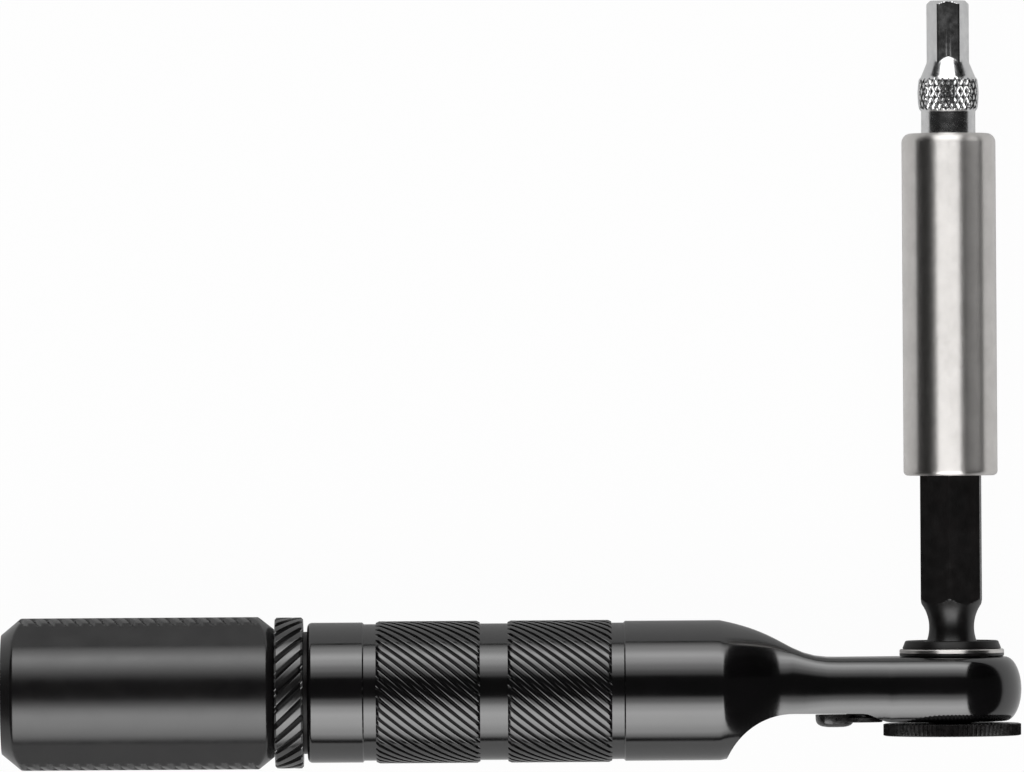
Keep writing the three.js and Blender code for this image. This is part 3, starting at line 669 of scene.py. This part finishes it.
# closes the top or the foot: strips across the shoulder and neck, then a flat round a bored hole
def closeHead(bm, ring, split, holeRadius, depth):
    front, rear = ring[:split + 1], ring[:-split - 2:-1]
    sides = [bm.edges.get(pair) for chain in (front, rear) for pair in zip(chain, chain[1:])]
    bmesh.ops.bridge_loops(bm, edges=sides)
    rim = ring[split:len(ring) - split]
    height = ring[split].co.y
    hole = startRing(bm, ringPoints("y", height, head["around"], lambda a: holeRadius))
    bmesh.ops.triangle_fill(bm, use_beauty=True, edges=edgesRound(bm, rim) + edgesRound(bm, hole))
    floor = drawOut(bm, hole)
    bmesh.ops.translate(bm, vec=(0, depth, 0), verts=floor)
    closeRing(bm, floor)


def makeHandle():
    bm = bmesh.new()
    addTail(bm, xTailEnd, xGripEnd)
    # the thread and its root aren't polished
    for face in bm.faces:
        face.material_index = 1
    addGrip(bm, xGripEnd, xShoulder - neck["root"])
    rings = [bodyLevel(share) for share in steps(0, 1, head["levels"])]
    top, foot = loftRings(bm, rings)
    split = next(i for i, point in enumerate(rings[0]) if point.x > -head["rampReach"])
    closeHead(bm, top, split, head["topHole"], -head["topDepth"])
    closeHead(bm, foot, split, head["footHole"], head["footDepth"])
    piece = finishPiece(bm, "handle", "handle", handleFinish, ["handle_body"])
    piece.data.materials.append(dullFinish)


makeHandle()
print("handle made")


# Lock ring: coarse ridges that lean the other way

lockRing = {"edge": 0.2, "ridges": 28, "pointsPerRidge": 16, "rows": 14, "ridgeDepth": 0.5, "plateau": 0.45,
            "turnPerMm": -7.2, "bore": 6.05}


def makeLockRing():
    xFoot, xTop = span("lock_ring", 0)
    radius, bore, edge = halfSpan("lock_ring", 1), lockRing["bore"], lockRing["edge"]
    profile = [(xFoot, bore), (xFoot, radius - edge)]
    profile += [(x, radius) for x in steps(xFoot + edge, xTop - edge, lockRing["rows"])]
    profile += [(xTop, radius - edge), (xTop, bore)]

    def ridges(angle, along, place):
        if place < radius:
            return place
        fall = 1 - ridgeHeight(angle, lockRing["ridges"], lockRing["plateau"])
        return radius - lockRing["ridgeDepth"] * fall

    def twist(along):
        return math.radians(lockRing["turnPerMm"]) * (along - xFoot)

    bm = bmesh.new()
    around = lockRing["ridges"] * lockRing["pointsPerRidge"]
    turned(bm, "x", profile, around, ridges, closed=False, twist=twist)
    finishPiece(bm, "lockRing", "lock_ring", knurlFinish, ["lock_ring"])


makeLockRing()
print("lock ring made")


# End cap: two knurled strips joined to the round by tangent flats, cut by a cone at each end

cap = {"round": 7.4, "strip": 8.1, "stripHalf": 20, "stripFade": 2, "landHalf": 3, "endRadius": 6.35,
       "endChamfer": 2.1, "endCore": 2.0, "mouthRadius": 6.8, "mouthChamfer": 1.65, "bore": 6.05,
       "boreDepth": 9.0, "groovePitch": 1.43, "grooveDepth": 0.5, "grooveFlank": 2, "grooveLean": 73,
       "around": 288, "rows": 170}


# the cap is alike on both sides: this is the angle from the middle of the nearer strip
def foldHalf(angle):
    return (angle + math.pi / 2) % math.pi - math.pi / 2


def capSection(angle):
    folded = abs(foldHalf(angle))
    stripEdge = math.radians(cap["stripHalf"])
    flatEdge = stripEdge + math.acos(cap["round"] / cap["strip"])
    if folded < stripEdge:
        return cap["strip"]
    if folded < flatEdge:
        return cap["round"] / math.cos(flatEdge - folded)
    return cap["round"]


def makeCap():
    xEnd, xMouth = span("end_cap", 0)
    stripEdge, fade = math.radians(cap["stripHalf"]), math.radians(cap["stripFade"])
    land, lean = math.radians(cap["landHalf"]), math.radians(cap["grooveLean"])

    def coneAt(x):
        if x < xEnd + cap["endChamfer"]:
            return lerp(cap["endRadius"], cap["strip"], (x - xEnd) / cap["endChamfer"])
        if x > xMouth - cap["mouthChamfer"]:
            return lerp(cap["mouthRadius"], cap["strip"], (xMouth - x) / cap["mouthChamfer"])
        return cap["strip"]

    def surface(angle, along, place):
        if place < cap["strip"]:
            return place
        folded = foldHalf(angle)
        slant = folded * cap["strip"] / math.tan(lean)
        wave = zigzag((along - slant) / cap["groovePitch"])
        cut = cap["grooveDepth"] * clamp(1 - cap["grooveFlank"] * wave)
        # a plain land runs along the middle of each strip, between two rows of slanted cuts
        share = clamp((stripEdge - abs(folded)) / fade + 1) * clamp((abs(folded) - land) / land)
        return min(capSection(angle) - cut * share, coneAt(along))

    profile = [(xEnd, cap["endCore"]), *[(x, cap["strip"]) for x in steps(xEnd, xMouth, cap["rows"])]]
    profile += [(xMouth, cap["bore"]), (xMouth - cap["boreDepth"], cap["bore"])]
    bm = bmesh.new()
    turned(bm, "x", profile, cap["around"], surface)
    finishPiece(bm, "endCap", "cap", capFinish, ["end_cap"])


makeCap()
print("end cap made")


# Thumb wheel: serrated rim, dished face, boss into the gear

wheel = {"notches": 90, "pointsPerNotch": 6, "depth": 0.22, "thickness": 1.3, "edge": 0.07,
         "edgeReach": 0.21, "dish": 0.25, "dishRadius": 4.8, "dishSlope": 0.4, "boss": 2.9, "core": 0.5}


def makeWheel():
    yFoot = span("thumb_wheel", 1)[0]
    yTop = yFoot + wheel["thickness"]
    yDish = yFoot + wheel["dish"]
    yBoss = span("head_cover", 1)[1]
    radius, edge = halfSpan("thumb_wheel", 0), wheel["edge"]
    face = radius - wheel["edgeReach"]
    profile = [(yDish, wheel["core"]), (yDish, wheel["dishRadius"] - wheel["dishSlope"]),
               (yFoot, wheel["dishRadius"]), (yFoot, face), (yFoot + edge, radius), (yTop - edge, radius),
               (yTop, face), (yTop, wheel["boss"]), (yBoss, wheel["boss"]), (yBoss, wheel["core"])]

    def serrated(angle, along, place):
        if place < radius:
            return place
        return radius - wheel["depth"] * zigzag(angle / tau * wheel["notches"])

    bm = bmesh.new()
    turned(bm, "y", profile, wheel["notches"] * wheel["pointsPerNotch"], serrated)
    finishPiece(bm, "thumbWheel", "gear", wheelFinish, ["thumb_wheel"])


makeWheel()
print("thumb wheel made")


# Retaining ring with its split, and the nose collar over it

# the steel ring's lit top rim and its shaded wall are painted with two finishes: a bright band of this
# height at the top, black below
retainer = {"inner": 4.15, "edge": 0.1, "split": 1.2, "highlightRim": 0.4, "around": 96}
collar = {"inner": 4.35, "top": 4.92, "edge": 0.06, "around": 96}


def makeRetainer():
    yFoot, yTop = span("gear_retaining_ring", 1)
    yHighlight = yTop - retainer["highlightRim"]
    radius, inner, edge = halfSpan("gear_retaining_ring", 0), retainer["inner"], retainer["edge"]
    outline = [(inner, yFoot), (radius - edge, yFoot), (radius, yFoot + edge), (radius, yHighlight),
               (radius, yTop - edge), (radius - edge, yTop), (inner, yTop)]
    bm = bmesh.new()
    startRing(bm, [Vector((0, y, -r)) for r, y in outline], filled=True)
    gap = retainer["split"] / radius
    bmesh.ops.rotate(bm, cent=(0, 0, 0), matrix=Matrix.Rotation(gap / 2, 3, "Y"), verts=bm.verts)
    bmesh.ops.spin(bm, geom=bm.faces[:], cent=(0, 0, 0), axis=(0, 1, 0), angle=tau - gap,
                   steps=retainer["around"])
    # a painted highlight: only the top rim gets the bright stainless finish, and the steel wall below it
    # gets the black finish as painted shade
    for face in bm.faces:
        face.material_index = int(face.calc_center_median().y < yHighlight)
    piece = finishPiece(bm, "retainingRing", "gear", sleeveFinish, ["gear_retaining_ring"])
    piece.data.materials.append(oxideFinish)


def makeCollar():
    yFoot, yTop = span("nose_collar", 1)
    foot, top, edge = halfSpan("nose_collar", 0), collar["top"], collar["edge"]
    profile = [(yFoot, collar["inner"]), (yFoot, foot - edge), (yFoot + edge, foot),
               (yTop - 2 * edge, top + edge), (yTop - edge / 2, top - edge / 2), (yTop, top - 2 * edge),
               (yTop, collar["inner"])]
    bm = bmesh.new()
    turned(bm, "y", profile, collar["around"], closed=False)
    finishPiece(bm, "noseCollar", "gear", dullFinish, ["nose_collar"])


makeRetainer()
makeCollar()
print("nose made")


# Reversing lever: round plate, shaft and thumb nub, drawn along -x and turned to its rest

lever = {"reach": 9.8, "swing": 18, "plate": 2.4, "plateEdge": 0.08, "plateTop": -2.95, "plateFoot": -3.5,
         "shaft": 1.45, "shaftTop": 1.15, "around": 64, "nubLength": 3.9, "nubHalf": 1.5, "nubTop": -2.65,
         "nubHeight": 1.35, "nubReach": 4.8, "nubSquareness": 0.55, "armGap": 0.2}


def makeLever():
    bm = bmesh.new()
    edge, plate, foot, top = lever["plateEdge"], lever["plate"], lever["plateFoot"], lever["plateTop"]
    profile = [(foot, plate - edge), (foot + edge, plate), (top - edge, plate), (top, plate - edge),
               (top, lever["shaft"]), (lever["shaftTop"], lever["shaft"])]
    turned(bm, "y", profile, lever["around"])
    nub = bmesh.ops.create_uvsphere(bm, u_segments=40, v_segments=20, radius=1)["verts"]
    for vert in nub:
        # a flattened thumb pad: full along its length, squarer than a ball
        vert.co = Vector([math.copysign(abs(c) ** lever["nubSquareness"], c) for c in vert.co])
    bmesh.ops.scale(bm, vec=(lever["nubLength"] / 2, lever["nubHeight"], lever["nubHalf"]), verts=nub)
    centre = (lever["nubLength"] / 2 - lever["nubReach"], lever["nubTop"], 0)
    bmesh.ops.translate(bm, vec=centre, verts=nub)
    nubFaces = {f for v in nub for f in v.link_faces}
    nubEdges = {e for f in nubFaces for e in f.edges}
    cut = bmesh.ops.bisect_plane(bm, geom=list(nubFaces) + list(nubEdges) + nub,
                                 plane_co=(0, lever["nubTop"], 0), plane_no=(0, 1, 0), clear_outer=True)
    rim = [e for e in cut["geom_cut"] if isinstance(e, bmesh.types.BMEdge)]
    bmesh.ops.edgeloop_fill(bm, edges=rim)
    arm = bmesh.ops.create_cube(bm, size=1)["verts"]
    bmesh.ops.scale(bm, vec=(-centre[0], top - foot, 2 * lever["nubHalf"] - lever["armGap"]), verts=arm)
    bmesh.ops.translate(bm, vec=(centre[0] / 2, (top + foot) / 2, 0), verts=arm)
    swing = Matrix.Rotation(math.radians(lever["swing"]), 3, "Y")
    bmesh.ops.rotate(bm, cent=(0, 0, 0), matrix=swing, verts=bm.verts)
    bmesh.ops.translate(bm, vec=(-lever["reach"], 0, 0), verts=bm.verts)
    finishPiece(bm, "reversingLever", "lever", wheelFinish, ["reversing_lever"])


makeLever()
print("lever made")


# Bit holder: hex shank with its waist, and the sleeve

hexes = {"drive": 6.35, "socket": 6.45, "tip": 4.0, "turn": -5, "cornerBreak": 0.03, "tipBreak": 0.06,
         "around": 120}
shank = {"waist": 2.39, "arc": 4.2, "waistHeight": 6.56, "waistRows": 40, "endChamfer": 0.6}
sleeve = {"topRound": 1.0, "footRound": 0.5, "wallFoot": 1.0, "wallTop": 2.0, "wallRows": 6, "mouth": 4.0,
          "mouthDepth": 0.35, "socketDepth": 12}
socketTurn = math.radians(hexes["turn"])
driveCorner = hexes["drive"] / math.sqrt(3)


def hexRadius(angle, acrossFlats, turn, cornerBreak):
    folded = (angle - turn) % (tau / 6) - tau / 12
    return min(acrossFlats / 2 / math.cos(folded), acrossFlats / math.sqrt(3) - cornerBreak)


def makeShank():
    yFoot, yTop = span("holder_shank", 1)
    centre = shank["waist"] + shank["arc"]
    waistHalf = math.sqrt(shank["arc"] ** 2 - (centre - driveCorner) ** 2)
    yWaist, chamfer = shank["waistHeight"], shank["endChamfer"]

    def surface(angle, along, place):
        radius = hexRadius(angle, hexes["drive"], socketTurn, hexes["cornerBreak"])
        off = along - yWaist
        if abs(off) < waistHalf:
            radius = min(radius, centre - math.sqrt(shank["arc"] ** 2 - off ** 2))
        return min(radius, place)

    waist = steps(yWaist - waistHalf, yWaist + waistHalf, shank["waistRows"])
    profile = [(yFoot, driveCorner - chamfer), (yFoot + chamfer, driveCorner)]
    profile += [(y, driveCorner) for y in waist]
    profile += [(yTop - chamfer, driveCorner), (yTop, driveCorner - chamfer)]
    bm = bmesh.new()
    turned(bm, "y", profile, hexes["around"], surface, start=socketTurn)
    finishPiece(bm, "hexShank", "bit_holder", oxideFinish, ["holder_shank"], sharp=18)


def makeSleeve():
    yFoot, yTop = span("holder_sleeve", 1)
    radius, mouth, depth = halfSpan("holder_sleeve", 0), sleeve["mouth"], sleeve["mouthDepth"]
    wall = steps(yFoot + sleeve["wallFoot"], yTop - sleeve["wallTop"], sleeve["wallRows"])
    socketMark = -1  # stands for the hex socket's own radius

    def surface(angle, along, place):
        return hexRadius(angle, hexes["socket"], socketTurn, 0) if place == socketMark else place

    profile = [(yFoot + sleeve["socketDepth"], socketMark), (yFoot + depth, socketMark), (yFoot, mouth)]
    profile += roundEdge(yFoot, radius, sleeve["footRound"], "in", parts=6)
    profile += [(y, radius) for y in wall]
    profile += roundEdge(yTop, radius, sleeve["topRound"], "out", parts=8)
    profile += [(yTop, mouth), (yTop - depth, socketMark), (yTop - sleeve["socketDepth"], socketMark)]
    bm = bmesh.new()
    turned(bm, "y", profile, hexes["around"], surface, closed=False, start=socketTurn)
    finishPiece(bm, "holderSleeve", "bit_holder", sleeveFinish, ["holder_sleeve"])


makeShank()
makeSleeve()
# the weak card lights the sleeve alone, so that the black pieces don't show it
besideCard = bpy.data.collections.new("besideCard")
besideCard.objects.link(bpy.data.objects["holderSleeve"])
bpy.data.objects["fillCard"].light_linking.receiver_collection = besideCard
print("bit holder made")


# Drive bit: hex drive, neck, knurled collar, cone and hex tip with one flat to the camera

bit = {"endChamfer": 0.5, "hexLength": 10.4, "hexRunOut": 0.4, "neckRadius": 2.88, "neckLength": 2.8,
       "neckStep": 0.1, "neckFillet": 0.2, "collarRadius": 3.25, "collarLength": 3.7, "collarBulge": 0.2,
       "collarEdge": 0.3, "edgeDrop": 0.26, "collarRows": 36, "knurls": 26, "pointsPerKnurl": 12,
       "knurlDepth": 0.13, "knurlFlank": 2, "knurlSteepness": 0.6, "coneLength": 2.1, "coneEnd": 2.0,
       "coneRows": 16, "tipChamfer": 0.45, "chamferRows": 6}


def makeBit():
    yFoot, yTop = span("drive_bit", 1)
    yNeck = yFoot + bit["hexLength"]
    yCollar = yNeck + bit["neckLength"]
    yCone = yCollar + bit["collarLength"]
    yTip = yCone + bit["coneLength"]
    yMiddle = (yCollar + yCone) / 2
    tipCorner = hexes["tip"] / math.sqrt(3)
    edge, neckRadius, collarRadius = bit["collarEdge"], bit["neckRadius"], bit["collarRadius"]
    lean = bit["knurlSteepness"] * bit["knurls"] / (tau * collarRadius)

    def surface(angle, along, place):
        if along <= yNeck:
            return min(place, hexRadius(angle, hexes["drive"], socketTurn, hexes["cornerBreak"]))
        if yCollar + edge <= along <= yCone - edge:
            # two crossing sets of grooves leave diamonds
            turns = angle / tau * bit["knurls"]
            wave = min(zigzag(turns + along * lean), zigzag(turns - along * lean))
            return place - bit["knurlDepth"] * clamp(1 - bit["knurlFlank"] * wave)
        if along >= yCone:
            tipHex = hexRadius(angle, hexes["tip"], tau / 12, hexes["tipBreak"])
            cone = lerp(neckRadius, bit["coneEnd"], (along - yCone) / bit["coneLength"])
            return min(place, max(tipHex, cone))
        return place

    chamfer, tipChamfer = bit["endChamfer"], bit["tipChamfer"]
    profile = [(yFoot, driveCorner - chamfer), (yFoot + chamfer, driveCorner),
               (yNeck - bit["hexRunOut"], driveCorner), (yNeck, neckRadius + bit["neckStep"]),
               (yNeck + bit["neckFillet"], neckRadius), (yCollar, neckRadius),
               (yCollar + edge / 2, collarRadius - bit["edgeDrop"])]
    for y in steps(yCollar + edge, yCone - edge, bit["collarRows"]):
        bulge = ((y - yMiddle) / (yCone - yMiddle)) ** 2
        profile.append((y, collarRadius - bit["collarBulge"] * bulge))
    profile.append((yCone - edge / 2, collarRadius - bit["edgeDrop"]))
    profile += [(y, driveCorner) for y in steps(yCone, yTip, bit["coneRows"])]
    for cut in steps(tipChamfer, 0, bit["chamferRows"]):
        profile.append((yTop - cut, tipCorner - tipChamfer + cut))
    bm = bmesh.new()
    turned(bm, "y", profile, bit["knurls"] * bit["pointsPerKnurl"], surface)
    finishPiece(bm, "driveBit", "bit", chromeFinish, ["drive_bit"], sharp=20)


makeBit()
print("bit made")


# Pieces held inside keep their CAD shape and get their own finishes

inside = {"cap_pad": rubberFinish, "cap_o_ring": rubberFinish, "spare_bit_rear": chromeFinish,
          "spare_bit_front": chromeFinish, "head_cover": oxideFinish, "ratchet_gear": steelFinish,
          "socket_magnet": magnetFinish, "pawl": oxideFinish, "lever_plunger": steelFinish,
          "plunger_spring": steelFinish, "holder_magnet": magnetFinish, "holder_snap_ring": steelFinish}
for node, finish in inside.items():
    mesh = bpy.data.objects[node].data
    mesh.materials.clear()
    mesh.materials.append(finish)
print("inside pieces finished")

bpy.context.view_layer.update()
